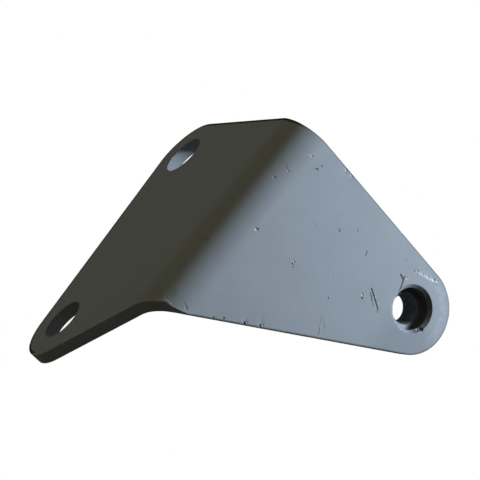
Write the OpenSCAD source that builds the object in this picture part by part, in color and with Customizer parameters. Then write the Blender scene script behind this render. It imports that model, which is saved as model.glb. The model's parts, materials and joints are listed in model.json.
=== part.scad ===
// Painted steel bracket: one plate with three rounded corners, folded once at a right angle.
// The wall flange has two bolt holes. The arm flange has a bevelled hole at its tip, with a nut
// welded behind it. The plate's outline is drawn flat, as it was cut, and then folded.

/* [Plate] */
// Thickness of the plate
plate_t = 6; // [3:0.5:10]
// Radius of the rounded corners, centred on the holes
corner_r = 20; // [16:0.5:28]
// Inside radius of the fold
bend_ri = 10; // [5:0.5:16]

/* [Wall flange] */
// Distance from the front face to the upper bolt hole
upper_in = 87; // [70:0.5:130]
// Distance from the front face to the lower bolt hole
lower_in = 71.5; // [60:0.5:110]
// Height of the upper bolt hole above the lower one
hole_rise = 99; // [75:0.5:150]
// Diameter of the two bolt holes
bolt_hole_d = 20; // [9:0.5:24]

/* [Arm flange] */
// Distance from the wall face to the hole at the tip
tip_reach = 96; // [75:0.5:150]
// Height of the upper bolt hole above the hole at the tip
tip_drop = 6.3; // [0:0.1:30]
// Diameter of the hole at the tip
tip_hole_d = 18.5; // [15:0.5:19.5]
// Width and depth of the bevel round the mouth of the tip hole
tip_bevel = 1.5; // [0.2:0.1:2.5]

/* [Fold] */
// How far the fold draws in the lower edge at the outside of the plate
draw_low = 2.2; // [0:0.1:3]
// How far the fold draws in the top edge at the outside of the plate
draw_top = 0.6; // [0:0.1:3]

/* [Weld nut] */
// Width of the nut across its flats
nut_af = 22; // [21:0.5:30]
// Height of the nut
nut_h = 11; // [6:0.5:16]
// Diameter of the nut's bore, at the crests of its thread
nut_bore_d = 12.4; // [8:0.1:13]
// Diameter of the bevelled mouths at both ends of the nut's bore
nut_mouth_d = 14.8; // [13.2:0.1:17]

/* [Hidden] */
paint = [0.50, 0.54, 0.58];
round_fn = 128;
// Margin by which a cutter stands clear of what it cuts
clear = 1;
bend_ro = bend_ri + plate_t;
// Length of flat plate that goes into the fold, and half of it
bend_len = bend_ri * PI / 2;
half_len = bend_len / 2;
bend_steps = 32;
// Hole centres on the flat plate, across from the middle of the fold and up from the upper bolt hole
upper_xy = [bend_ro - upper_in - half_len, 0];
lower_xy = [bend_ro - lower_in - half_len, -hole_rise];
tip_xy = [tip_reach - bend_ro + half_len, -tip_drop];
corners = [upper_xy, lower_xy, tip_xy];
// The straight edges run this much inside the corners' circles, so that each crosses its circle cleanly
edge_inset = 0.002;
nut_sink = (nut_mouth_d - nut_bore_d) / 2;
sink_depth = nut_sink * tan(30);
nut_corner_r = nut_af / 2 / cos(30);
nut_cap_depth = (nut_corner_r - nut_af / 2) * tan(30);

// Direction from corner i to the next one
function along(i) = (corners[(i + 1) % 3] - corners[i]) / norm(corners[(i + 1) % 3] - corners[i]);
// The same direction turned to point out of the plate
function outward(i) = [along(i)[1], -along(i)[0]];
// The two ends of the straight edge between corner i and the next one
function edge_ends(i) = [for (k = [i, (i + 1) % 3]) corners[k] + (corner_r - edge_inset) * outward(i)];
// Height of straight edge i where it is x across from the middle of the fold
function edge_height(i, x) = edge_ends(i)[0][1] + (x - edge_ends(i)[0][0]) * along(i)[1] / along(i)[0];
// The two points where the plate's lower and top edges reach a line at x across from the middle of the fold
function fold_line(x) = [[x, edge_height(1, x)], [x, edge_height(2, x)]];
// Share of the fold's full draw at a share s of the way round it
function draw_at(s) = sin(180 * s);

// A round corner of the flat plate; its circle starts inside the plate
module round_corner(i) {
    translate(corners[i]) rotate(i == 2 ? 180 : 0)
        circle(r = corner_r, $fn = round_fn);
}

// The wall flange as it was cut, up to the line where the fold starts
module wall_outline() {
    round_corner(0);
    round_corner(1);
    polygon([edge_ends(2)[1], each edge_ends(0), edge_ends(1)[0], each fold_line(-half_len)]);
}

// The arm flange as it was cut, from the line where the fold ends
module arm_outline() {
    round_corner(2);
    polygon([each fold_line(half_len), edge_ends(2)[0], edge_ends(1)[1]]);
}

// Places its children at an angle round the fold: x runs along the plate, y up, z out from the centre
module on_fold(angle) {
    translate([bend_ro, bend_ro - upper_in, 0])
        rotate([90, 0, angle - 90]) children();
}

module wall_flange() {
    on_fold(0) translate([half_len, 0, bend_ri])
        linear_extrude(plate_t) wall_outline();
}

module arm_flange() {
    on_fold(90) translate([-half_len, 0, bend_ri])
        linear_extrude(plate_t) arm_outline();
}

// One corner of the fold's section: radius r, share s of the way round, on the lower or the top edge
function fold_point(r, s, is_top) =
    let (x = (s - 0.5) * bend_len)
    let (share = draw_at(s) * (r - bend_ri) / plate_t)
    let (z = is_top ? edge_height(2, x) - draw_top * share : edge_height(1, x) + draw_low * share)
    [bend_ro - r * cos(90 * s), bend_ro - upper_in - r * sin(90 * s), z];

// The plate as it goes round the bend, ring by ring, with both cut edges followed round
module fold() {
    shares = [for (i = [0:bend_steps]) i / bend_steps];
    points = [for (s = shares) each [
        fold_point(bend_ri, s, false),
        fold_point(bend_ro, s, false),
        fold_point(bend_ro, s, true),
        fold_point(bend_ri, s, true)
    ]];
    sides = [for (i = [0:bend_steps - 1]) for (k = [0:3])
        let (a = 4 * i + k, b = 4 * i + (k + 1) % 4)
        each [[a, b, b + 4], [a, b + 4, a + 4]]];
    ends = [[for (k = [3:-1:0]) k], [for (k = [0:3]) 4 * bend_steps + k]];
    polyhedron(points = points, faces = concat(sides, ends));
}

// A hole through the wall flange, at a height and a distance in from the front face
module wall_hole(in, z) {
    translate([-clear, in - upper_in, z]) rotate([0, 90, 0])
        cylinder(d = bolt_hole_d, h = plate_t + 2 * clear, $fn = round_fn);
}

// Places its children on the axis of the tip hole, with z running in from the front face
module on_tip_axis() {
    translate([tip_reach, -upper_in, -tip_drop])
        rotate([-90, 0, 0]) children();
}

// A cone that opens a round edge: r at the depth, and as much wider at the face as width says
module bevel_cutter(r, width, depth) {
    slope = width / depth;
    translate([0, 0, -clear])
        cylinder(r1 = r + width + clear * slope, r2 = r, h = depth + clear, $fn = round_fn);
}

module tip_hole() {
    on_tip_axis() {
        translate([0, 0, -clear]) cylinder(d = tip_hole_d, h = plate_t + 2 * clear, $fn = round_fn);
        bevel_cutter(tip_hole_d / 2, tip_bevel, tip_bevel);
    }
}

module bracket_plate() {
    color(paint) difference() {
        union() {
            wall_flange();
            fold();
            arm_flange();
        }
        wall_hole(upper_in, 0);
        wall_hole(lower_in, -hole_rise);
        tip_hole();
    }
}

// Hexagon nut with its corners turned off at the free end and a bevel at both ends of its bore
module weld_nut() {
    color(paint) on_tip_axis() translate([0, 0, plate_t]) difference() {
        intersection() {
            cylinder(r = nut_corner_r, h = nut_h, $fn = 6);
            union() {
                cylinder(r = nut_corner_r + clear, h = nut_h - nut_cap_depth, $fn = round_fn);
                translate([0, 0, nut_h - nut_cap_depth])
                    cylinder(r1 = nut_corner_r, r2 = nut_af / 2, h = nut_cap_depth, $fn = round_fn);
            }
        }
        translate([0, 0, -clear]) cylinder(d = nut_bore_d, h = nut_h + 2 * clear, $fn = round_fn);
        bevel_cutter(nut_bore_d / 2, nut_sink, sink_depth);
        translate([0, 0, nut_h]) mirror([0, 0, 1])
            bevel_cutter(nut_bore_d / 2, nut_sink, sink_depth);
    }
}

bracket_plate();
weld_nut();
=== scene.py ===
import json
import math

import bmesh
import bpy
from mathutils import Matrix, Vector, noise
from mathutils.geometry import delaunay_2d_cdt


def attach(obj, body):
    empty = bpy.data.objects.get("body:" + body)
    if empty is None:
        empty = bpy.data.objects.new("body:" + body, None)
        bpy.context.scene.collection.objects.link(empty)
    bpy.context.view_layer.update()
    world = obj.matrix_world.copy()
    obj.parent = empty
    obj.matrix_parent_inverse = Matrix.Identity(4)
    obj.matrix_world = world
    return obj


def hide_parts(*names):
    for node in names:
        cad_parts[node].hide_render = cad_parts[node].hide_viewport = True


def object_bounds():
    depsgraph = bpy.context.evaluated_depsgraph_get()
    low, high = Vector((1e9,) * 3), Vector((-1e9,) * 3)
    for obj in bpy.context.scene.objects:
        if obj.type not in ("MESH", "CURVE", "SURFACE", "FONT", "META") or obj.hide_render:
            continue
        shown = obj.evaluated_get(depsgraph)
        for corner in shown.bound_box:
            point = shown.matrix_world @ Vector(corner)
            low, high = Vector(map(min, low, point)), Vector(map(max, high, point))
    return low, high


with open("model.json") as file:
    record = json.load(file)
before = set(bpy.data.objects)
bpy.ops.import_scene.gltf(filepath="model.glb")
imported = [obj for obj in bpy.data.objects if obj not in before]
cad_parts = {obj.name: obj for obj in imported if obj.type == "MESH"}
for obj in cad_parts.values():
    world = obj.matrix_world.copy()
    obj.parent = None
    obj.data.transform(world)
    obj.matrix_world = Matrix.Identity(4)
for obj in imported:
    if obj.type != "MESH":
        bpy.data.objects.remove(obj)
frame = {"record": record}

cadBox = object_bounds()
mm = 0.001
mounts = {mount["name"]: mount for mount in frame["record"]["mounts"]}


def boreRadius(name):
    return mounts[name]["dims"]["r_mm"] * mm


# Wire: a socket that can be used in plain arithmetic, in shader and geometry trees alike

class Wire:
    def __init__(self, tree, socket):
        self.tree = tree
        self.socket = socket

    def node(self, kind, settings=None, inputs=None, out=0):
        made = self.tree.nodes.new(kind)
        for name, value in (settings or {}).items():
            setattr(made, name, value)
        for key, value in (inputs or {}).items():
            if isinstance(value, Wire):
                self.tree.links.new(value.socket, made.inputs[key])
            else:
                made.inputs[key].default_value = value
        return Wire(self.tree, made.outputs[out])

    def math(self, operation, first, second=0.0):
        return self.node("ShaderNodeMath", {"operation": operation}, {0: first, 1: second})

    def __add__(self, other):
        return self.math("ADD", self, other)

    def __radd__(self, other):
        return self.math("ADD", other, self)

    def __sub__(self, other):
        return self.math("SUBTRACT", self, other)

    def __rsub__(self, other):
        return self.math("SUBTRACT", other, self)

    def __mul__(self, other):
        return self.math("MULTIPLY", self, other)

    def __rmul__(self, other):
        return self.math("MULTIPLY", other, self)

    def __truediv__(self, other):
        return self.math("DIVIDE", self, other)

    def __rtruediv__(self, other):
        return self.math("DIVIDE", other, self)

    def __neg__(self):
        return self.math("MULTIPLY", self, -1.0)

    def smallest(self, other):
        return self.math("MINIMUM", self, other)

    def largest(self, other):
        return self.math("MAXIMUM", self, other)

    def size(self):
        return self.math("ABSOLUTE", self)

    def root(self):
        return self.math("SQRT", self)

    def clamped(self):
        return self.largest(0.0).smallest(1.0)

    def blend(self, first, second):
        # a colour between two, with this wire as the share of the second
        return self.node("ShaderNodeMix", {"data_type": "RGBA"}, {0: self, 6: first, 7: second}, 2)

    def fade(self, low, high):
        # 0 at low, 1 at high, smooth between; low may be the larger
        settings = {"interpolation_type": "SMOOTHSTEP"}
        return self.node("ShaderNodeMapRange", settings, {"Value": self, "From Min": low, "From Max": high})


def split(place):
    parts = place.node("ShaderNodeSeparateXYZ", None, {0: place}).socket.node
    return [Wire(place.tree, parts.outputs[k]) for k in range(3)]


# Camera, where the photograph was taken from

viewpoint = {
    "place": (-0.2200, -0.6546, -0.2501),
    "turn": (113.468, -35.966, -36.600),
    "lens": 119.35,
    "sensor": 36.0,
    "nearest": 0.01,
    "farthest": 50,
}


def makeCamera():
    data = bpy.data.cameras.new("camera")
    data.lens = viewpoint["lens"]
    data.sensor_width = viewpoint["sensor"]
    data.clip_start = viewpoint["nearest"]
    data.clip_end = viewpoint["farthest"]
    camera = bpy.data.objects.new("camera", data)
    camera.location = viewpoint["place"]
    camera.rotation_euler = [math.radians(angle) for angle in viewpoint["turn"]]
    bpy.context.collection.objects.link(camera)
    bpy.context.scene.camera = camera


makeCamera()
print("camera made")


# The folded plate: its sizes come from the frame's box and mounts where they can

plate = {
    "thickness": mounts["upper_bolt_hole"]["dims"]["length_mm"] * mm,
    "cornerRadius": cadBox[1].z,  # the top of the circle round the upper hole
    "bendRadius": 10 * mm,
    "frontIn": -mounts["arm_face"]["pos_m"][1],
    "tipBevel": 1.5 * mm,
    # rounding of the outline's edges, the bolt holes' and the bevel's
    "edgeRound": 0.5 * mm,
    "holeRound": 0.15 * mm,
    "bevelRound": 0.2 * mm,
    # how far the fold draws in the lower and the top edge: across from its middle, draw, in millimetres
    "drawLow": [(-8.5, 0), (-6.7, 0.45), (-5.3, 1.2), (-3.4, 1.5), (-0.9, 1.9), (0.7, 2.3),
                (1.3, 2.0), (2.5, 0.9), (4.4, 0.35), (6, 0.15), (8, 0)],
    "drawTop": [(-8, 0), (-4, 0.15), (0, 0.2), (4, 0.15), (8, 0)],
    "drawReach": 12 * mm,
    # a slight wave near the edges
    "wave": 0.025 * mm,
    "waveScale": 400,
    "waveReach": 1.5 * mm,
    # the mesh
    "edgeStep": 0.7 * mm,
    "gridStep": 4 * mm,
    "gridReach": 124 * mm,  # past every edge of the plate
    "gridMargin": 2 * mm,
    "foldSteps": 32,
    "arcSteps": 48,
    "holeSteps": 96,
    "roundSteps": 4,
}
plate["halfFold"] = plate["bendRadius"] * math.pi / 4
plate["outerRadius"] = plate["bendRadius"] + plate["thickness"]

nicks = {
    "slant": 0.8,  # below 1, a nick reaches further down the cut face than along it
    "sharpness": 0.7,
    # in millimetres on the flat plate: across from the fold, up from the upper hole, depth of the nick,
    # reach along the edge
    "places": [
        (-45.0, -109.2, 0.45, 1.6),
        (22.8, 15.3, 0.35, 1.3),
        (26.4, 15.2, 0.30, 1.2),
        (28.9, -65.0, 0.40, 1.0),
        (35.3, -61.1, 0.35, 1.0),
        (16.5, -72.9, 0.20, 0.8),
        (96.5, 11.9, 0.30, 1.0),
        (97.6, -9.9, 0.45, 1.1),
    ],
}


def flatCorners():
    # hole centres on the flat plate: upper, lower, tip
    near = plate["outerRadius"] - plate["halfFold"]
    upper = mounts["upper_bolt_hole"]["pos_m"]
    lower = mounts["lower_bolt_hole"]["pos_m"]
    tip = mounts["tip_bolt_hole"]["pos_m"]
    return [
        Vector((near - plate["frontIn"] - upper[1], upper[2])),
        Vector((near - plate["frontIn"] - lower[1], lower[2])),
        Vector((tip[0] - near, tip[2])),
    ]


corners = flatCorners()
holes = [
    (corners[0], boreRadius("upper_bolt_hole")),
    (corners[1], boreRadius("lower_bolt_hole")),
    (corners[2], boreRadius("tip_bolt_hole")),
]


def along(i):
    return (corners[(i + 1) % 3] - corners[i]).normalized()


def outward(i):
    return Vector((along(i).y, -along(i).x))


def edgeHeight(i, x):
    # height of straight edge i at x across from the middle of the fold
    start = corners[i] + outward(i) * plate["cornerRadius"]
    return start.y + (x - start.x) * along(i).y / along(i).x


def distanceToLine(point, i):
    # distance from the line between the centres of corner i and the next one
    start, end = corners[i], corners[(i + 1) % 3]
    line = end - start
    share = min(max((point - start).dot(line) / line.length_squared, 0), 1)
    return (point - start - line * share).length


def insideOutline(point):
    # how far a point of the flat plate lies inside its outline
    if all((point - corners[i]).dot(outward(i)) <= 0 for i in range(3)):
        return plate["cornerRadius"]
    return plate["cornerRadius"] - min(distanceToLine(point, i) for i in range(3))


def insideBy(point):
    # the same, with the edges of the holes counted too
    return min([insideOutline(point)] + [(point - centre).length - radius for centre, radius in holes])


def outlineLoop(inset):
    # the plate's outline moved in by inset, always with the same number of points
    radius = plate["cornerRadius"] - inset
    loop = []
    for i in range(3):
        first = math.atan2(outward(i - 1).y, outward(i - 1).x)
        last = math.atan2(outward(i).y, outward(i).x)
        if last < first:
            last += 2 * math.pi
        steps = plate["arcSteps"]
        for k in range(steps + 1):
            angle = first + (last - first) * k / steps
            loop.append(corners[i] + radius * Vector((math.cos(angle), math.sin(angle))))
        start = corners[i] + outward(i) * radius
        end = corners[(i + 1) % 3] + outward(i) * radius
        count = round((end - start).length / plate["edgeStep"])
        loop += [start.lerp(end, k / count) for k in range(1, count)]
    return loop


def holeLoop(centre, radius, inset):
    steps = plate["holeSteps"]
    turns = [2 * math.pi * k / steps for k in range(steps)]
    return [centre + (radius + inset) * Vector((math.cos(turn), math.sin(turn))) for turn in turns]


def roundProfile(points, radius):
    # rounds the inner corners of a line of (inset, depth) points
    steps = plate["roundSteps"]
    rounded = [Vector(points[0])]
    for before, corner, after in zip(points, points[1:], points[2:]):
        corner = Vector(corner)
        toBefore = (Vector(before) - corner).normalized()
        toAfter = (Vector(after) - corner).normalized()
        cut = radius / math.tan(toBefore.angle(toAfter) / 2)
        start = corner + toBefore * cut
        end = corner + toAfter * cut
        for k in range(steps + 1):
            t = k / steps
            rounded.append(start * (1 - t) ** 2 + corner * 2 * t * (1 - t) + end * t ** 2)
    rounded.append(Vector(points[-1]))
    return rounded


def gridPoints(margin):
    # points inside the plate's face: close together across the fold, wider apart on the flanges
    half, step, steps = plate["halfFold"], plate["gridStep"], plate["foldSteps"]
    reach = round(plate["gridReach"] / step)
    columns = [half * (2 * k / steps - 1) for k in range(steps + 1)]
    columns += [side * (half + step * k) for side in (-1, 1) for k in range(1, reach)]
    rows = [corners[0].y + step * k for k in range(-reach, reach)]
    points = [Vector((x, y)) for x in columns for y in rows]
    return [point for point in points if insideBy(point) > margin]


def fillFace(bm, loops, depth, margin):
    # fills the face between its outline, the first loop, and the loops round its holes
    known = [vert for loop in loops for vert in loop]
    loopOf = [n for n, loop in enumerate(loops) for vert in loop]
    edges, start = [], 0
    for loop in loops:
        edges += [(start + k, start + (k + 1) % len(loop)) for k in range(len(loop))]
        start += len(loop)
    flat = [Vector(vert.co.xy) / mm for vert in known]
    flat += [point / mm for point in gridPoints(margin)]
    onlyInside, tolerance = 1, 1e-5
    points, _, triangles, origins, _, _ = delaunay_2d_cdt(flat, edges, [], onlyInside, tolerance)
    verts = []
    for point, origin in zip(points, origins):
        if origin[0] < len(known):
            verts.append(known[origin[0]])
        else:
            verts.append(bm.verts.new((point.x * mm, point.y * mm, depth)))
    for triangle in triangles:
        ids = {origins[k][0] for k in triangle}
        onLoops = {loopOf[k] if k < len(known) else -1 for k in ids}
        insideHole = len(onLoops) == 1 and min(onLoops) > 0
        if not insideHole:
            bm.faces.new([verts[k] for k in triangle])


def bridgeRings(bm, ring, nextRing):
    for k in range(len(ring)):
        bm.faces.new((ring[k - 1], ring[k], nextRing[k], nextRing[k - 1]))


def addStrip(bm, profile, makeLoop):
    # a ring of quads for every step of the profile; returns the first and the last ring
    rings = []
    for inset, depth in profile:
        rings.append([bm.verts.new((point.x, point.y, depth)) for point in makeLoop(inset)])
    for ring, nextRing in zip(rings, rings[1:]):
        bridgeRings(bm, ring, nextRing)
    return rings[0], rings[-1]


def flatPlate():
    # the plate as cut, with rounded edges: depth 0 is the inside of the fold, the thickness its outside
    bm = bmesh.new()
    thick, bevel, margin = plate["thickness"], plate["tipBevel"], plate["gridMargin"]
    shoulder = 2 * plate["edgeRound"]
    plain = [(shoulder, thick), (0, thick), (0, 0), (shoulder, 0)]
    bevelled = [(bevel + shoulder, thick), (bevel, thick), (0, thick - bevel), (0, 0), (shoulder, 0)]
    strips = [addStrip(bm, roundProfile(plain, plate["edgeRound"]), outlineLoop)]
    boltProfile = roundProfile(plain, plate["holeRound"])
    tipProfile = roundProfile(bevelled, plate["bevelRound"])
    for (centre, radius), profile in zip(holes, [boltProfile, boltProfile, tipProfile]):
        strips.append(addStrip(bm, profile, lambda inset: holeLoop(centre, radius, inset)))
    fillFace(bm, [first for first, last in strips], thick, bevel + margin)
    fillFace(bm, [last for first, last in strips], 0, margin)
    bmesh.ops.recalc_face_normals(bm, faces=bm.faces)
    return bm


def between(curve, x):
    # value at x on a line through the curve's points, and 0 beyond its ends
    for (x0, y0), (x1, y1) in zip(curve, curve[1:]):
        if x0 <= x <= x1:
            return y0 + (y1 - y0) * (x - x0) / (x1 - x0)
    return 0


def wearEdges(bm):
    # draws the edges in where the plate stretched round the fold, then adds a slight wave and nicks;
    # for the paint, each point keeps how far inside the plate it lies: from any edge, and from the outline
    rim = bm.verts.layers.float.new("rim")
    edge = bm.verts.layers.float.new("edge")
    for vert in bm.verts:
        vert[rim] = insideBy(Vector(vert.co.xy))
        vert[edge] = insideOutline(Vector(vert.co.xy))
    for vert in bm.verts:
        x, y, depth = vert.co
        share = depth / plate["thickness"]
        for i, curve, turn in ((1, plate["drawLow"], 1), (2, plate["drawTop"], -1)):
            inside = (y - edgeHeight(i, x)) * turn
            if inside < plate["drawReach"]:
                hold = (1 - max(inside, 0) / plate["drawReach"]) ** 2
                vert.co.y += turn * between(curve, x / mm) * mm * share * hold
    for vert in bm.verts:
        x, y, depth = vert.co
        nearness = 1 - vert[rim] / plate["waveReach"]
        if nearness > 0:
            vert.co.z += noise.noise(Vector((x, y, depth)) * plate["waveScale"]) * plate["wave"] * nearness
        for nickX, nickY, nickDepth, reach in nicks["places"]:
            below = (plate["thickness"] - depth) * nicks["slant"]
            pull = 1 - Vector((x - nickX * mm, y - nickY * mm, below)).length / (reach * mm)
            if pull > 0:
                vert.co.z -= nickDepth * mm * pull ** nicks["sharpness"]


def meshFrom(bm, name):
    mesh = bpy.data.meshes.new(name)
    bm.to_mesh(mesh)
    bm.free()
    for face in mesh.polygons:
        face.use_smooth = True
    piece = bpy.data.objects.new(name, mesh)
    bpy.context.collection.objects.link(piece)
    return piece


def newTree(name, inputs):
    # a geometry tree with named inputs; returns the tree, its geometry and the inputs as wires
    tree = bpy.data.node_groups.new(name, "GeometryNodeTree")
    tree.interface.new_socket("Geometry", in_out="INPUT", socket_type="NodeSocketGeometry")
    tree.interface.new_socket("Geometry", in_out="OUTPUT", socket_type="NodeSocketGeometry")
    for label, kind in inputs:
        tree.interface.new_socket(label, in_out="INPUT", socket_type=kind)
    start = tree.nodes.new("NodeGroupInput")
    wires = [Wire(tree, start.outputs[k]) for k in range(len(inputs) + 1)]
    return tree, wires


def closeTree(tree, wire, material):
    # every tree ends the same way: instances made real, then the material
    solid = wire.node("GeometryNodeRealizeInstances", None, {0: wire})
    painted = solid.node("GeometryNodeSetMaterial", None, {"Geometry": solid, "Material": material})
    end = tree.nodes.new("NodeGroupOutput")
    tree.links.new(painted.socket, end.inputs[0])


def applyTree(piece, tree, values):
    # sets the named inputs, takes the result as a plain mesh and removes the modifier
    modifier = piece.modifiers.new(tree.name, "NODES")
    modifier.node_group = tree
    for item in tree.interface.items_tree:
        if item.in_out == "INPUT" and item.name in values:
            modifier[item.identifier] = values[item.name]
    depsgraph = bpy.context.evaluated_depsgraph_get()
    mesh = bpy.data.meshes.new_from_object(piece.evaluated_get(depsgraph), depsgraph=depsgraph)
    piece.modifiers.remove(modifier)
    piece.data = mesh


def foldTree(material):
    # folds a flat plate: x across the fold, y up, z out from the inside face
    inputs = [(name, "NodeSocketFloat") for name in ("Inside radius", "Thickness", "Front distance")]
    tree, (flat, radius, thickness, front) = newTree("fold plate", inputs)
    place = flat.node("GeometryNodeInputPosition")
    x, y, z = split(place)
    kept = flat.node("GeometryNodeStoreNamedAttribute", {"data_type": "FLOAT_VECTOR", "domain": "POINT"},
                     {"Geometry": flat, "Name": "flat", "Value": place})
    half = radius * (math.pi / 4)
    held = x.largest(-half).smallest(half)
    over = x - held
    angle = (held / half + 1) * (math.pi / 4)
    sine, cosine = x.math("SINE", angle), x.math("COSINE", angle)
    reach = radius + z
    outer = radius + thickness
    newX = outer - reach * cosine + over * sine
    newY = outer - front - reach * sine - over * cosine
    turned = x.node("ShaderNodeCombineXYZ", None, {0: newX, 1: newY, 2: y})
    folded = kept.node("GeometryNodeSetPosition", None, {"Geometry": kept, "Position": turned})
    closeTree(tree, folded, material)
    return tree


# The nut behind the tip hole: hexagon with turned corners, a real thread inside

nut = {
    "axis": mounts["tip_nut_thread"]["pos_m"],
    "seat": plate["thickness"] - plate["frontIn"],  # y of the plate's inside face, where the nut lies
    "acrossFlats": 22 * mm,
    "height": 11 * mm,
    "cornerRound": 0.8 * mm,
    # the foot's rounded edge: height above the plate, how far it is drawn in
    "foot": [(0, 0.25 * mm), (0.15 * mm, 0.08 * mm), (0.4 * mm, 0)],
    # the cone that turns the corners off at the free end
    "capWidth": 1.70 * mm,
    "capDepth": 0.98 * mm,
    "threadCrest": boreRadius("tip_nut_thread"),
    "threadDepth": 0.80 * mm,
    "pitch": 1.5 * mm,
    # how fast the flank goes out over the turn, and how much of its depth the flat crest takes
    "flankSlope": 2.6,
    "crestFlat": 0.3,
    "mouthRadius": 7.4 * mm,
    "mouthSlope": math.radians(30),
    "sharpAngle": math.radians(35),
    # the mesh
    "flatSteps": 11,
    "cornerSteps": 4,
    "sideSteps": 6,
    "capSteps": 8,
    "faceSteps": 3,
    "levelsPerTurn": 10,
}


def hexagonLoop():
    # outline of the hexagon, with rounded corners
    loop = []
    sixth = math.pi / 3
    reach = (nut["acrossFlats"] / 2 - nut["cornerRound"]) / math.cos(sixth / 2)
    for side in range(6):
        middle = sixth * side
        centre = reach * Vector((math.cos(middle), math.sin(middle)))
        for k in range(nut["cornerSteps"] + 1):
            turn = middle + sixth * (k / nut["cornerSteps"] - 0.5)
            loop.append(centre + nut["cornerRound"] * Vector((math.cos(turn), math.sin(turn))))
        start = loop[-1]
        nextCentre = reach * Vector((math.cos(middle + sixth), math.sin(middle + sixth)))
        turn = middle + sixth / 2
        end = nextCentre + nut["cornerRound"] * Vector((math.cos(turn), math.sin(turn)))
        loop += [start.lerp(end, k / nut["flatSteps"]) for k in range(1, nut["flatSteps"])]
    return loop


def outerLevels():
    # heights of the rings up the outside, each with how far the foot draws it in
    height, steps, capSteps = nut["height"], nut["sideSteps"], nut["capSteps"]
    levels = nut["foot"] + [(height * k / steps, 0) for k in range(1, steps - 1)]
    return levels + [(height - nut["capDepth"] * k / capSteps, 0) for k in range(capSteps + 1, -1, -1)]


def threadRadius(angle, level):
    # radius of the bore: slanted flanks between flat crests, opened by a cone at both mouths
    phase = (level / nut["pitch"] - angle / (2 * math.pi)) % 1
    flank = min(max((0.5 - abs(phase - 0.5)) * nut["flankSlope"] - nut["crestFlat"], 0), 1)
    radius = nut["threadCrest"] + nut["threadDepth"] * flank
    mouth = nut["mouthRadius"] - min(level, nut["height"] - level) / math.tan(nut["mouthSlope"])
    return max(radius, mouth)


def makeNut():
    # rings up the outside, in across the free end and back down the thread
    height, loop = nut["height"], hexagonLoop()
    flatRadius, mouthRadius = nut["acrossFlats"] / 2, nut["mouthRadius"]
    rings = []
    for level, ease in outerLevels():
        cone = flatRadius + nut["capWidth"] * (height - level) / nut["capDepth"]
        ring = [point * min(1, (cone - ease) / point.length) * (1 - ease / point.length) for point in loop]
        rings.append((level, ring))
    for k in range(1, nut["faceSteps"] + 1):
        radius = flatRadius + (mouthRadius - flatRadius) * k / nut["faceSteps"]
        rings.append((height, [point.normalized() * radius for point in loop]))
    angles = [math.atan2(point.y, point.x) for point in loop]
    count = round(height / nut["pitch"] * nut["levelsPerTurn"])
    for k in range(1, count):
        level = height * (1 - k / count)
        ring = [threadRadius(angle, level) * point.normalized() for point, angle in zip(loop, angles)]
        rings.append((level, ring))
    rings.append((0, [point.normalized() * mouthRadius for point in loop]))

    bm = bmesh.new()
    axis, seat = nut["axis"], nut["seat"]
    rows = []
    for level, ring in rings:
        rows.append([bm.verts.new((axis[0] + point.x, seat + level, axis[2] + point.y)) for point in ring])
    for row, nextRow in zip(rows, rows[1:] + rows[:1]):
        bridgeRings(bm, row, nextRow)
    bmesh.ops.recalc_face_normals(bm, faces=bm.faces)
    piece = meshFrom(bm, "threaded_weld_nut")
    piece.data.set_sharp_from_angle(angle=nut["sharpAngle"])
    return piece


# Weld flash squeezed out under three corners of the nut

weld = {
    "beads": 3,
    "under": 0.5 * mm,
    "radius": 1.9 * mm,
    "spread": 1.15,
    "flatten": 0.45,
    "tilt": 0.5,
    "roughness": 0.40 * mm,
    "rippleScale": 900.0,
    "subdivisions": 4,
    "seed": 4,
}


def weldTree(material):
    sizes = ("Bead radius", "Spread", "Flatten", "Tilt", "Roughness")
    inputs = [(name, "NodeSocketFloat") for name in sizes] + [("Seed", "NodeSocketInt")]
    tree, (points, radius, spread, flatten, tilt, rough, seed) = newTree("weld flash", inputs)
    bead = points.node("GeometryNodeMeshIcoSphere", None,
                       {"Radius": radius, "Subdivisions": weld["subdivisions"]})
    squash = points.node("ShaderNodeCombineXYZ", None, {0: spread, 1: flatten, 2: spread})
    low = points.node("ShaderNodeCombineXYZ", None, {1: -tilt})
    high = points.node("ShaderNodeCombineXYZ", None, {1: tilt})
    turn = points.node("FunctionNodeRandomValue", {"data_type": "FLOAT_VECTOR"},
                       {"Min": low, "Max": high, "Seed": seed})
    placed = points.node("GeometryNodeInstanceOnPoints", None,
                         {"Points": points, "Instance": bead, "Scale": squash, "Rotation": turn})
    solid = placed.node("GeometryNodeRealizeInstances", None, {0: placed})
    ripple = placed.node("ShaderNodeTexNoise", None, {"Scale": weld["rippleScale"], "Detail": 2.0})
    normal = placed.node("GeometryNodeInputNormal")
    push = placed.node("ShaderNodeVectorMath", {"operation": "SCALE"},
                       {0: normal, "Scale": (ripple - 0.5) * rough * 2})
    moved = solid.node("GeometryNodeSetPosition", None, {"Geometry": solid, "Offset": push})
    smooth = moved.node("GeometryNodeSetShadeSmooth", None, {0: moved})
    closeTree(tree, smooth, material)
    return tree


def makeWeld(material):
    # one point under every second corner of the nut
    bm = bmesh.new()
    axis = nut["axis"]
    reach = nut["acrossFlats"] / 2 / math.cos(math.pi / 6) - weld["under"]
    for k in range(weld["beads"]):
        turn = 2 * math.pi * k / weld["beads"]
        bm.verts.new((axis[0] + reach * math.cos(turn), nut["seat"], axis[2] + reach * math.sin(turn)))
    piece = meshFrom(bm, "weld_flash")
    applyTree(piece, weldTree(material), {
        "Bead radius": weld["radius"],
        "Spread": weld["spread"],
        "Flatten": weld["flatten"],
        "Tilt": weld["tilt"],
        "Roughness": weld["roughness"],
        "Seed": weld["seed"],
    })
    return piece


# Paint; a pair is where a mask is 0 and where it is full, and sizes are in millimetres

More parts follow.
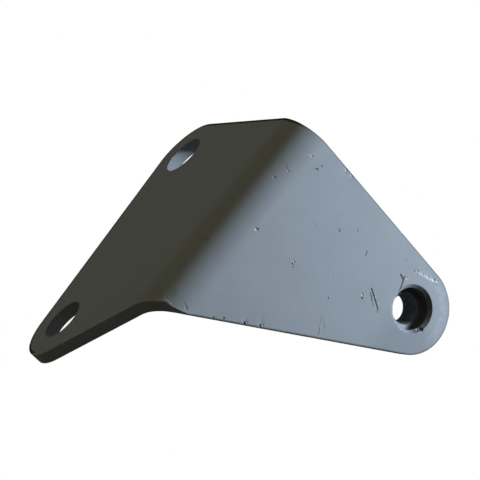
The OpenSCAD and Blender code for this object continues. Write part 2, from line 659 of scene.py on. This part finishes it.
paint = {
    "colour": (0.272, 0.322, 0.378, 1),
    "thin": (0.225, 0.270, 0.322, 1),
    "full": (0.319, 0.374, 0.434, 1),
    # the primer colour, also used for painted shade in the holes, on the nut's face and along the outline
    "under": (0.040, 0.042, 0.044, 1),
    # a light colour for worn paint, also used for painted highlights
    "lightWearAndHighlight": (0.56, 0.62, 0.68, 1),
    "roughness": 0.68,
    "specular": 0.04,
    "peelScale": 0.9,
    "flaked": (0.66, 0.72),
    "flakeDark": 0.8,
    "flakeDepth": 0.05,
}

plateFinish = {
    # uneven colour, and a darker patch below the tip hole
    "mottle": 0.50,
    "mottleScale": 0.055,
    "cloud": 0.20,
    "cloudScale": 0.35,
    "belowTipPlace": (97.0, -24.0),
    "belowTipReach": (24.0, 6.0),
    "belowTipDarker": 0.6,
    # the outlines of marks stray by noise
    "stray": 0.40,
    "strayScale": 1.3,
    # depths at which the outer face begins: for marks, for the painted shade along the outline and for the
    # lighter lower edge
    "outerFace": (4.2, 4.8),
    "outlineShadeDepth": (3.0, 5.0),
    "brightDepth": (4.5, 5.5),
    # soft edges of the marks, as parts of their width or radius, and their depths
    "scratchEdge": (1.3, 0.3),
    "dentEdge": (1.25, 0.2),
    "scratchDark": 0.95,
    "scratchDepth": 0.20,
    "dentDepth": 0.45,
    # flakes off the rims
    "flakeScale": 0.8,
    "flakeReach": (0.75, 0.35),
    # the cut faces: where they begin, and saw lines that run through the plate
    "cutReach": (0.25, 0.05),
    # painted shade on the bolt holes' walls
    "holeWallShade": 0.3,
    "sawStretch": (1.0, 1.0, 0.06),
    "sawScale": 2.2,
    "sawDepth": 0.035,
    "peelDepth": 0.010,
    "fineScale": 4.0,
    "fineDepth": 0.0012,
    # what makes the paint rougher than it is on the whole
    "mottleRough": 0.10,
    "cloudRough": 0.06,
    "cutRough": 0.22,
    "outlineShadeRough": 0.3,
}

# painted shade as a dark line along the outline, strongest on the wall flange, the side turned from the
# light; what the wall flange has more of is added to the arm's values
outlineShadeAndLowEdge = {
    "wallFrom": (4.0, -4.0),
    "reach": (0.85, 0.45),
    "reachOnWall": (1.0, 0.5),
    "start": (0.0, 0.15),
    "strength": 0.55,
    "strengthOnWall": 0.45,
    "patchScale": 0.4,
    "patches": (0.15, 0.42),
    # the lower edge, lighter from the wall round the fold, and most at its kink: worn paint with a painted
    # highlight along it
    "lowReach": (5.0, 3.0),
    "lowEnd": (9.0, 6.0),
    "highlightAndWear": (0.8, 0.35),
    "brightStart": (0.0, 0.1),
    "brightStrength": 0.45,
    "kink": (-1.0, 0.8),
    "kinkStrength": 0.5,
}

# the ring that a washer wore round the tip hole, strongest towards the end of the arm
washerMark = {
    "radius": 16.4,
    "width": (2.6, 0.4),
    "towards": (0.64, 0.77),
    "side": (0.1, 0.95),
    "patchScale": 0.35,
    "patches": (0.25, 0.60),
    "worn": 0.17,
    "depth": 0.02,
    "smoother": 0.12,
}

# painted shade in the tip hole, and on its bevel on the side away from the fold
tipHoleShade = {
    "bore": (9.75, 9.45),
    "boreDepth": (4.7, 4.2),
    "bevel": (10.9, 10.5),
    "towards": (0.95, 0.3),
    "farSide": (1.0, 8.0),
    "nearStrength": 0.75,
    "farStrength": 0.17,
    "bevelStrength": 0.7,
}

# The marks lie on the flat plate, in millimetres from the middle of the fold and from the height of the
# upper hole: start x, start height, end x, end height, half width, depth, share of painted highlight with
# some bare metal
scratches = [
    (66.1, -13.8, 69.8, -15.6, 0.42, 1.0, 0), (69.8, -15.6, 74.4, -18.2, 0.36, 1.0, 0),
    (74.4, -18.2, 75.1, -19.5, 0.26, 0.6, 0),
    (66.9, -15.4, 69.6, -17.4, 0.34, 0.8, 0), (69.6, -17.4, 71.7, -18.7, 0.26, 0.5, 0),
    (68.1, -15.0, 70.9, -16.6, 0.20, 0.4, 0),
    (73.3, 0.6, 75.9, 0.0, 0.44, 1.0, 0), (75.6, 1.5, 75.7, -0.1, 0.40, 0.9, 0),
    (75.9, 0.0, 77.7, -5.3, 0.40, 1.0, 0),
    (53.5, -3.4, 54.4, -5.4, 0.32, 0.7, 0), (37.1, -5.8, 37.9, -6.5, 0.32, 0.7, 0),
    (43.9, 0.4, 44.5, -0.2, 0.24, 0.6, 0),
    (54.9, -38.9, 57.6, -43.4, 0.24, 0.3, 0), (57.6, -43.4, 58.8, -45.6, 0.30, 0.5, 0),
    (55.2, -38.9, 59.3, -41.5, 0.24, 0.3, 0), (55.4, -38.6, 58.2, -43.2, 0.22, 0.4, 0.7),
    (4.8, -76.8, 6.1, -77.4, 0.24, 0.5, 0), (3.1, -2.6, 4.0, -4.4, 0.20, 0.3, 0),
    (5.9, 7.0, 7.0, 9.1, 0.26, 0.4, 0.6), (11.4, 5.0, 12.2, 5.8, 0.32, 0.8, 0),
    (26.0, -12.0, 28.6, -13.6, 0.16, 0.25, 0), (48.0, -22.0, 49.8, -25.4, 0.14, 0.22, 0),
    (-30.0, -40.0, -33.4, -46.8, 0.16, 0.22, 0),
    (79.6, 7.4, 82.6, 8.5, 0.55, 0.6, 0.9), (82.6, 8.5, 85.4, 9.3, 0.65, 0.7, 0.9),
    (85.4, 9.3, 88.4, 10.5, 0.65, 0.8, 0.9), (88.6, 10.5, 90.4, 11.3, 0.50, 0.8, 0.9),
    (67.8, -14.0, 70.4, -15.2, 0.26, 0.4, 0.8), (72.6, -16.6, 73.6, -15.8, 0.24, 0.35, 0.8),
    (76.6, 0.9, 77.4, 2.3, 0.40, 0.45, 0.8),
]
# x, height, radius, depth, share painted as a highlight on the dent's lit side with some bare metal (dark
# for the rest: primer, and painted shade on a wall turned from the light)
dents = [
    (7.5, -32.9, 0.62, 1.0, 0.9), (7.9, -32.2, 0.36, 0.8, 0.0),
    (2.8, -10.4, 0.50, 0.5, 0.3), (12.9, 7.9, 0.45, 0.6, 0.0),
    (12.4, 4.8, 0.50, 0.5, 0.8), (6.9, 7.8, 0.55, 0.5, 0.8),
    (4.4, -4.2, 0.45, 0.5, 0.7), (-1.0, -49.2, 0.60, 0.9, 0.5),
    (29.7, -30.8, 0.55, 0.7, 0.8), (29.6, -32.0, 0.50, 0.8, 0.0), (30.8, -32.7, 0.35, 0.7, 0.0),
    (52.3, -30.9, 0.38, 0.8, 0.0), (64.1, -18.6, 0.55, 0.8, 0.9),
    (65.1, -20.0, 0.55, 0.9, 0.0), (71.5, 6.9, 0.34, 0.4, 0.0),
    (77.6, 6.7, 0.40, 0.7, 0.0), (78.9, 7.6, 0.65, 0.6, 0.6),
    (79.6, 6.7, 0.32, 0.6, 0.0), (82.2, 8.3, 0.50, 0.5, 0.6),
    (85.2, 9.4, 0.60, 0.8, 1.0), (88.0, 10.4, 0.85, 1.0, 1.0),
    (90.0, 11.3, 0.50, 0.7, 0.9), (90.2, 10.1, 0.32, 0.6, 0.0),
    (96.5, 11.7, 0.60, 1.0, 0.0), (97.5, -9.8, 1.00, 1.5, 0.0),
    (96.2, -10.8, 0.50, 1.0, 1.0), (86.8, -16.3, 0.35, 0.8, 0.0), (80.6, -12.9, 0.55, 0.8, 0.0),
    (28.9, -64.9, 0.66, 1.1, 0.0), (29.7, -64.0, 0.45, 0.8, 1.0),
    (35.2, -60.9, 0.58, 1.0, 0.0), (36.1, -60.0, 0.45, 0.8, 1.0),
    (16.5, -72.8, 0.45, 0.8, 0.0), (20.2, -69.8, 0.50, 0.8, 0.0), (5.9, -78.0, 0.45, 0.6, 0.8),
    (-44.4, -110.6, 0.50, 0.9, 1.0), (22.8, 15.3, 0.60, 1.0, 0.8), (26.4, 15.2, 0.55, 1.0, 0.8),
    (-52.0, 6.0, 0.35, 0.4, 0.5), (-37.0, -72.0, 0.40, 0.4, 0.3), (76.6, 1.9, 0.50, 0.5, 0.8),
]


def newMaterial(name, specular=paint["specular"]):
    material = bpy.data.materials.new(name)
    material.use_nodes = True
    shader = material.node_tree.nodes["Principled BSDF"]
    shader.inputs["Specular IOR Level"].default_value = specular
    return material, shader, Wire(material.node_tree, shader.outputs[0])


def join(shader, **wires):
    # links wires to the shader's sockets: Base_Color is the socket Base Color
    for name, wire in wires.items():
        wire.tree.links.new(wire.socket, shader.inputs[name.replace("_", " ")])


def scaled(vector, factor):
    return vector.node("ShaderNodeVectorMath", {"operation": "SCALE"}, {0: vector, "Scale": factor})


def stretched(place, factors):
    return place.node("ShaderNodeVectorMath", {"operation": "MULTIPLY"}, {0: place, 1: factors})


def objectPlace(start):
    # place in the part's own frame, in millimetres
    return scaled(start.node("ShaderNodeTexCoord", out=3), 1 / mm)


def noiseAt(place, scale, detail=2.0, out=0):
    return place.node("ShaderNodeTexNoise", None, {"Vector": place, "Scale": scale, "Detail": detail}, out)


def shifted(place, scale, reach):
    # the place moved about by noise, so that marks get ragged outlines
    drift = noiseAt(place, scale, 1.0, 1)
    centred = place.node("ShaderNodeVectorMath", {"operation": "SUBTRACT"}, {0: drift, 1: (0.5, 0.5, 0.5)})
    return place.node("ShaderNodeVectorMath", {"operation": "ADD"}, {0: place, 1: scaled(centred, reach)})


def fromPoint(across, up, x, y):
    across, up = across - x, up - y
    return (across * across + up * up).root()


def fromLine(across, up, x0, y0, x1, y1):
    # distance from a straight line between two points
    dx, dy = x1 - x0, y1 - y0
    share = (((across - x0) * dx + (up - y0) * dy) / (dx * dx + dy * dy)).clamped()
    return fromPoint(across - share * dx, up - share * dy, x0, y0)


def fromTipTowards(across, up, direction):
    # how far a place lies from the tip hole's centre in one direction
    return (across - corners[2].x / mm) * direction[0] + (up - corners[2].y / mm) * direction[1]


def stronger(mask, other):
    # the stronger of two masks, of which the first may not be there yet
    return other if mask is None else mask.largest(other)


def bumpFrom(height):
    # height in millimetres
    return height.node("ShaderNodeBump", None, {"Height": height, "Distance": mm, "Strength": 1.0})


def markMasks(across, up):
    # dark scratches, dents, and painted highlights with some bare metal in some of both; the dark of the
    # dents is partly primer, partly painted shade
    scored, pitted, highlightAndWear = None, None, None
    outer, inner = plateFinish["scratchEdge"]
    for x0, y0, x1, y1, width, depth, shine in scratches:
        one = fromLine(across, up, x0, y0, x1, y1).fade(width * outer, width * inner) * depth
        if shine:
            highlightAndWear = stronger(highlightAndWear, one * shine)
        else:
            scored = stronger(scored, one)
    outer, inner = plateFinish["dentEdge"]
    for x, y, radius, depth, shine in dents:
        one = fromPoint(across, up, x, y).fade(radius * outer, radius * inner) * depth
        pitted = stronger(pitted, one)
        if shine:
            highlightAndWear = stronger(highlightAndWear, one * shine)
    return scored, pitted, highlightAndWear


def washerRing(place, across, up, fromTip):
    mark = washerMark
    side = fromTipTowards(across, up, mark["towards"]) / fromTip
    ring = (fromTip - mark["radius"]).size().fade(*mark["width"])
    return ring * side.fade(*mark["side"]) * noiseAt(place, mark["patchScale"]).fade(*mark["patches"])


def edgeShadeAndHighlight(place, across, up, out, edge):
    # painted shade as a dark line along the outline, and the lower edge lighter instead: worn paint with a
    # painted highlight
    edgeLook = outlineShadeAndLowEdge
    onWall = across.fade(*edgeLook["wallFrom"])
    low, high = [onWall * more + reach for more, reach in zip(edgeLook["reachOnWall"], edgeLook["reach"])]
    outlineShade = edge.fade(low, high) * edge.fade(*edgeLook["start"])
    outlineShade = outlineShade * noiseAt(place, edgeLook["patchScale"]).fade(*edgeLook["patches"])
    outlineShade = outlineShade * (onWall * edgeLook["strengthOnWall"] + edgeLook["strength"])
    outlineShade = outlineShade * out.fade(*plateFinish["outlineShadeDepth"])
    lowX, lowY = outward(1)
    lowReach = (corners[1].dot(outward(1)) + plate["cornerRadius"]) / mm
    nearLow = (lowReach - across * lowX - up * lowY).fade(*edgeLook["lowReach"]) * across.fade(*edgeLook["lowEnd"])
    highlightAndWear = edge.fade(*edgeLook["highlightAndWear"]) * edge.fade(*edgeLook["brightStart"]) * nearLow
    highlightAndWear = highlightAndWear * (across.fade(*edgeLook["kink"]) * edgeLook["kinkStrength"] + edgeLook["brightStrength"])
    return outlineShade * (1 - nearLow), highlightAndWear * out.fade(*plateFinish["brightDepth"])


def platePaint():
    finish = plateFinish
    material, shader, start = newMaterial("satin grey paint")
    place = scaled(start.node("ShaderNodeAttribute", {"attribute_name": "flat"}, out=1), 1 / mm)
    rim = start.node("ShaderNodeAttribute", {"attribute_name": "rim"}, out=2) * (1 / mm)
    edge = start.node("ShaderNodeAttribute", {"attribute_name": "edge"}, out=2) * (1 / mm)
    across, up, out = split(shifted(place, finish["strayScale"], finish["stray"]))
    outside = out.fade(*finish["outerFace"])

    scored, pitted, highlightAndWear = [mask * outside for mask in markMasks(across, up)]
    dark = (scored * finish["scratchDark"]).largest(pitted - highlightAndWear)
    fromTip = fromPoint(across, up, corners[2].x / mm, corners[2].y / mm)
    ring = washerRing(place, across, up, fromTip) * outside
    outlineShade, lowEdgeWearAndHighlight = edgeShadeAndHighlight(place, across, up, out, edge)
    flaked = noiseAt(place, finish["flakeScale"], 4.0).fade(*paint["flaked"])
    flaked = flaked * rim.fade(*finish["flakeReach"])
    cutFace = rim.fade(*finish["cutReach"])

    mottle = noiseAt(place, finish["mottleScale"], 3.0) - 0.5
    cloud = noiseAt(place, finish["cloudScale"], 4.0) - 0.5
    # a darker patch below the tip hole
    belowTipDarker = fromPoint(across, up, *finish["belowTipPlace"]).fade(*finish["belowTipReach"]) * finish["belowTipDarker"]
    tone = 0.5 + mottle * finish["mottle"] + cloud * finish["cloud"] - belowTipDarker
    colour = tone.clamped().blend(paint["thin"], paint["full"])
    colour = (ring * washerMark["worn"]).blend(colour, paint["lightWearAndHighlight"])
    # painted shade: a dark line along the outline, strongest on the wall flange
    colour = outlineShade.blend(colour, paint["under"])
    # the lower edge lighter: worn paint with a painted highlight along it
    colour = lowEdgeWearAndHighlight.blend(colour, paint["lightWearAndHighlight"])
    colour = (flaked * paint["flakeDark"]).blend(colour, paint["under"])

    # painted shade in the tip hole, on the far side of its bevel and on the bolt holes' walls
    farSide = fromTipTowards(across, up, tipHoleShade["towards"]).fade(*tipHoleShade["farSide"])
    bore = fromTip.fade(*tipHoleShade["bore"]) * out.fade(*tipHoleShade["boreDepth"])
    bore = bore * (farSide * tipHoleShade["farStrength"] + tipHoleShade["nearStrength"])
    tipBevel = fromTip.fade(*tipHoleShade["bevel"]) * farSide * tipHoleShade["bevelStrength"]
    shadedWalls = cutFace * (1 - edge.fade(*finish["cutReach"])) * finish["holeWallShade"]
    colour = bore.largest(tipBevel).largest(shadedWalls).blend(colour, paint["under"])
    # painted highlights on the lit sides of marks, with some bare metal
    colour = highlightAndWear.smallest(1.0).blend(colour, paint["lightWearAndHighlight"])
    # dark scratches, and dark dents: partly primer, partly painted shade on walls turned from the light
    colour = dark.smallest(1.0).blend(colour, paint["under"])

    height = noiseAt(place, paint["peelScale"]) * finish["peelDepth"]
    height = height + noiseAt(place, finish["fineScale"]) * finish["fineDepth"]
    saw = noiseAt(stretched(place, finish["sawStretch"]), finish["sawScale"], 3.0)
    height = height + saw * cutFace * finish["sawDepth"]
    height = height - scored * finish["scratchDepth"] - pitted * finish["dentDepth"]
    height = height - flaked * paint["flakeDepth"] - ring * washerMark["depth"]
    roughness = paint["roughness"] + mottle * finish["mottleRough"] + cloud * finish["cloudRough"]
    roughness = roughness - ring * washerMark["smoother"]
    roughness = roughness + (cutFace * finish["cutRough"]).largest(outlineShade * finish["outlineShadeRough"])
    join(shader, Base_Color=colour, Roughness=roughness, Normal=bumpFrom(height))
    return material


# The nut's paint, with dark bare steel in the thread; sizes are in millimetres as above
nutFinish = {
    "mottleScale": 0.12,
    "raggedScale": 0.6,
    "flakeScale": 0.7,
    "flakeFrom": (10.6, 11.6),
    "steelDark": (0.024, 0.027, 0.031, 1),
    "steelLight": (0.082, 0.088, 0.098, 1),
    "steelScale": 1.2,
    "steelMetallic": 0.4,
    # the thread is bare inside this radius and from this depth below the rear face
    "bareRadius": (7.2, 6.8),
    "bareDepth": (0.5, 1.5),
    "raggedRadius": 0.8,
    "raggedDepth": 1.6,
    # painted shade on the face behind the plate's hole, left out where the light falls on it
    "seatFace": (0.7, 0.1),
    "seatRadius": (9.8, 9.3),
    "seatDark": 0.7,
    "litPlace": (3.2, -7.0),
    "litReach": (4.4, 2.6),
    "peelDepth": 0.015,
    "grainScale": 3.0,
    "grainDepth": 0.004,
    "raggedRough": 0.12,
    "steelSmoother": 0.10,
}


def nutPaint():
    finish = nutFinish
    material, shader, start = newMaterial("painted nut")
    place = objectPlace(start)
    x, y, z = split(place)
    axisX, axisZ = nut["axis"][0] / mm, nut["axis"][2] / mm
    above = y - nut["seat"] / mm
    fromAxis = fromPoint(x, z, axisX, axisZ)
    ragged = noiseAt(place, finish["raggedScale"], 3.0) - 0.5
    bare = (fromAxis + ragged * finish["raggedRadius"]).fade(*finish["bareRadius"])
    bare = bare * (nut["height"] / mm - above + ragged * finish["raggedDepth"]).fade(*finish["bareDepth"])
    mottle = noiseAt(place, finish["mottleScale"], 3.0)
    flaked = noiseAt(place, finish["flakeScale"], 4.0).fade(*paint["flaked"])
    flaked = flaked * (fromAxis + ragged).fade(*finish["flakeFrom"])
    colour = mottle.blend(paint["thin"], paint["full"])
    steel = noiseAt(place, finish["steelScale"], 3.0).blend(finish["steelDark"], finish["steelLight"])
    litX, litZ = finish["litPlace"]
    # the patch of the nut's face where the light falls, left free of painted shade
    litPatch = fromPoint(x, z, axisX + litX, axisZ + litZ).fade(*finish["litReach"])
    # painted shade on the nut's face behind the plate's hole
    seatShade = above.fade(*finish["seatFace"]) * fromAxis.fade(*finish["seatRadius"]) * (1 - litPatch)
    # dark flakes, and the painted shade on the nut's face
    flakesAndShade = (flaked * paint["flakeDark"]).largest(seatShade * finish["seatDark"])
    colour = bare.blend(flakesAndShade.blend(colour, paint["under"]), steel)
    roughness = paint["roughness"] + ragged * finish["raggedRough"] - bare * finish["steelSmoother"]
    height = noiseAt(place, paint["peelScale"]) * finish["peelDepth"]
    height = height + noiseAt(place, finish["grainScale"], 3.0) * finish["grainDepth"]
    height = height - flaked * paint["flakeDepth"]
    join(shader, Base_Color=colour, Roughness=roughness, Metallic=bare * finish["steelMetallic"],
         Normal=bumpFrom(height))
    return material


# The weld flash's paint, thin on its lumps
flashFinish = {
    "lumpScale": 1.4,
    "lumpDepth": 0.12,
    "covered": (0.35, 0.7),
    "grainScale": 5.0,
    "grainDepth": 0.02,
    "lumpRough": 0.2,
}


def weldPaint():
    finish = flashFinish
    material, shader, start = newMaterial("painted weld flash")
    place = objectPlace(start)
    lumps = noiseAt(place, finish["lumpScale"], 4.0)
    colour = lumps.fade(*finish["covered"]).blend(paint["thin"], paint["colour"])
    height = lumps * finish["lumpDepth"] + noiseAt(place, finish["grainScale"]) * finish["grainDepth"]
    roughness = paint["roughness"] + (lumps - 0.5) * finish["lumpRough"]
    join(shader, Base_Color=colour, Roughness=roughness, Normal=bumpFrom(height))
    return material


plateMaterial, nutMaterial, weldMaterial = platePaint(), nutPaint(), weldPaint()
print("materials made")

bracketFlat = flatPlate()
wearEdges(bracketFlat)
bracket = meshFrom(bracketFlat, "folded_plate")
applyTree(bracket, foldTree(plateMaterial), {
    "Inside radius": plate["bendRadius"],
    "Thickness": plate["thickness"],
    "Front distance": plate["frontIn"],
})
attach(bracket, "root")
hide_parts("bracket_plate")
print("plate made:", len(bracket.data.polygons), "faces")

weldNut = makeNut()
weldNut.data.materials.append(nutMaterial)
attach(weldNut, "root")
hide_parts("weld_nut")
flash = makeWeld(weldMaterial)
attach(flash, "root")
print("nut and weld made")


# Floor, world and lamps

studio = {
    "floorLevel": -0.46,
    "floorSize": 6.0,
    "floorSeen": (0.85, 0.85, 0.85, 1),
    "floorBounce": (0.072, 0.060, 0.042, 1),
    "floorGlow": (0.45, 0.45, 0.45, 1),
    "floorRoughness": 0.9,
    "floorSpecular": 0.1,
    "dark": (0, 0, 0, 1),
    "ambient": (0.034, 0.030, 0.022, 1),
    "white": (1, 1, 1, 1),
    "seenRays": ["Is Camera Ray", "Is Glossy Ray", "Is Transmission Ray"],
    "lampsAimAt": (0.05, -0.04, -0.04),
}
lamps = [
    # name, direction from the part, distance, size, watts, colour
    ("key", (0.38, -0.61, 0.69), 0.56, 0.14, 4.05, (0.955, 1.0, 1.06)),
    ("fill", (-0.9, -0.35, 0.1), 3.0, 2.0, 11.0, (1.0, 0.80, 0.42)),
    ("back", (0.60, 0.75, 0.55), 1.5, 0.9, 22.0, (1.0, 1.0, 1.0)),
]


def seenDirectly(start):
    # 1 for what the camera sees, straight or through a mirror or glass
    rays = [start.node("ShaderNodeLightPath", out=out) for out in studio["seenRays"]]
    return rays[0].largest(rays[1]).largest(rays[2])


def makeFloor():
    bm = bmesh.new()
    size, level = studio["floorSize"], studio["floorLevel"]
    around = ((-1, -1), (1, -1), (1, 1), (-1, 1))
    bm.faces.new([bm.verts.new((x * size, y * size, level)) for x, y in around])
    floor = meshFrom(bm, "studio_floor")
    material, shader, start = newMaterial("pale studio floor", studio["floorSpecular"])
    # pale where it is seen, darker for the light it throws back, so that the part's shaded side stays dark
    seen = seenDirectly(start)
    join(shader, Base_Color=seen.blend(studio["floorBounce"], studio["floorSeen"]),
         Emission_Color=seen.blend(studio["dark"], studio["floorGlow"]))
    shader.inputs["Emission Strength"].default_value = 1.0
    shader.inputs["Roughness"].default_value = studio["floorRoughness"]
    floor.data.materials.append(material)


def makeWorld():
    world = bpy.data.worlds.new("studio")
    bpy.context.scene.world = world
    world.use_nodes = True
    tree = world.node_tree
    background = tree.nodes["Background"]
    start = Wire(tree, background.outputs[0])
    colour = seenDirectly(start).blend(studio["ambient"], studio["white"])
    tree.links.new(colour.socket, background.inputs["Color"])


def makeLamp(name, direction, distance, size, watts, colour):
    data = bpy.data.lights.new(name, "AREA")
    data.shape = "DISK"
    data.size = size
    data.energy = watts
    data.color = colour
    lamp = bpy.data.objects.new(name, data)
    aim = Vector(studio["lampsAimAt"])
    lamp.location = aim + Vector(direction).normalized() * distance
    lamp.visible_camera = False
    lamp.rotation_euler = (aim - lamp.location).to_track_quat("-Z", "Y").to_euler()
    bpy.context.collection.objects.link(lamp)


makeFloor()
makeWorld()
for lamp in lamps:
    makeLamp(*lamp)
bpy.context.scene.view_settings.view_transform = "Standard"
print("studio made")
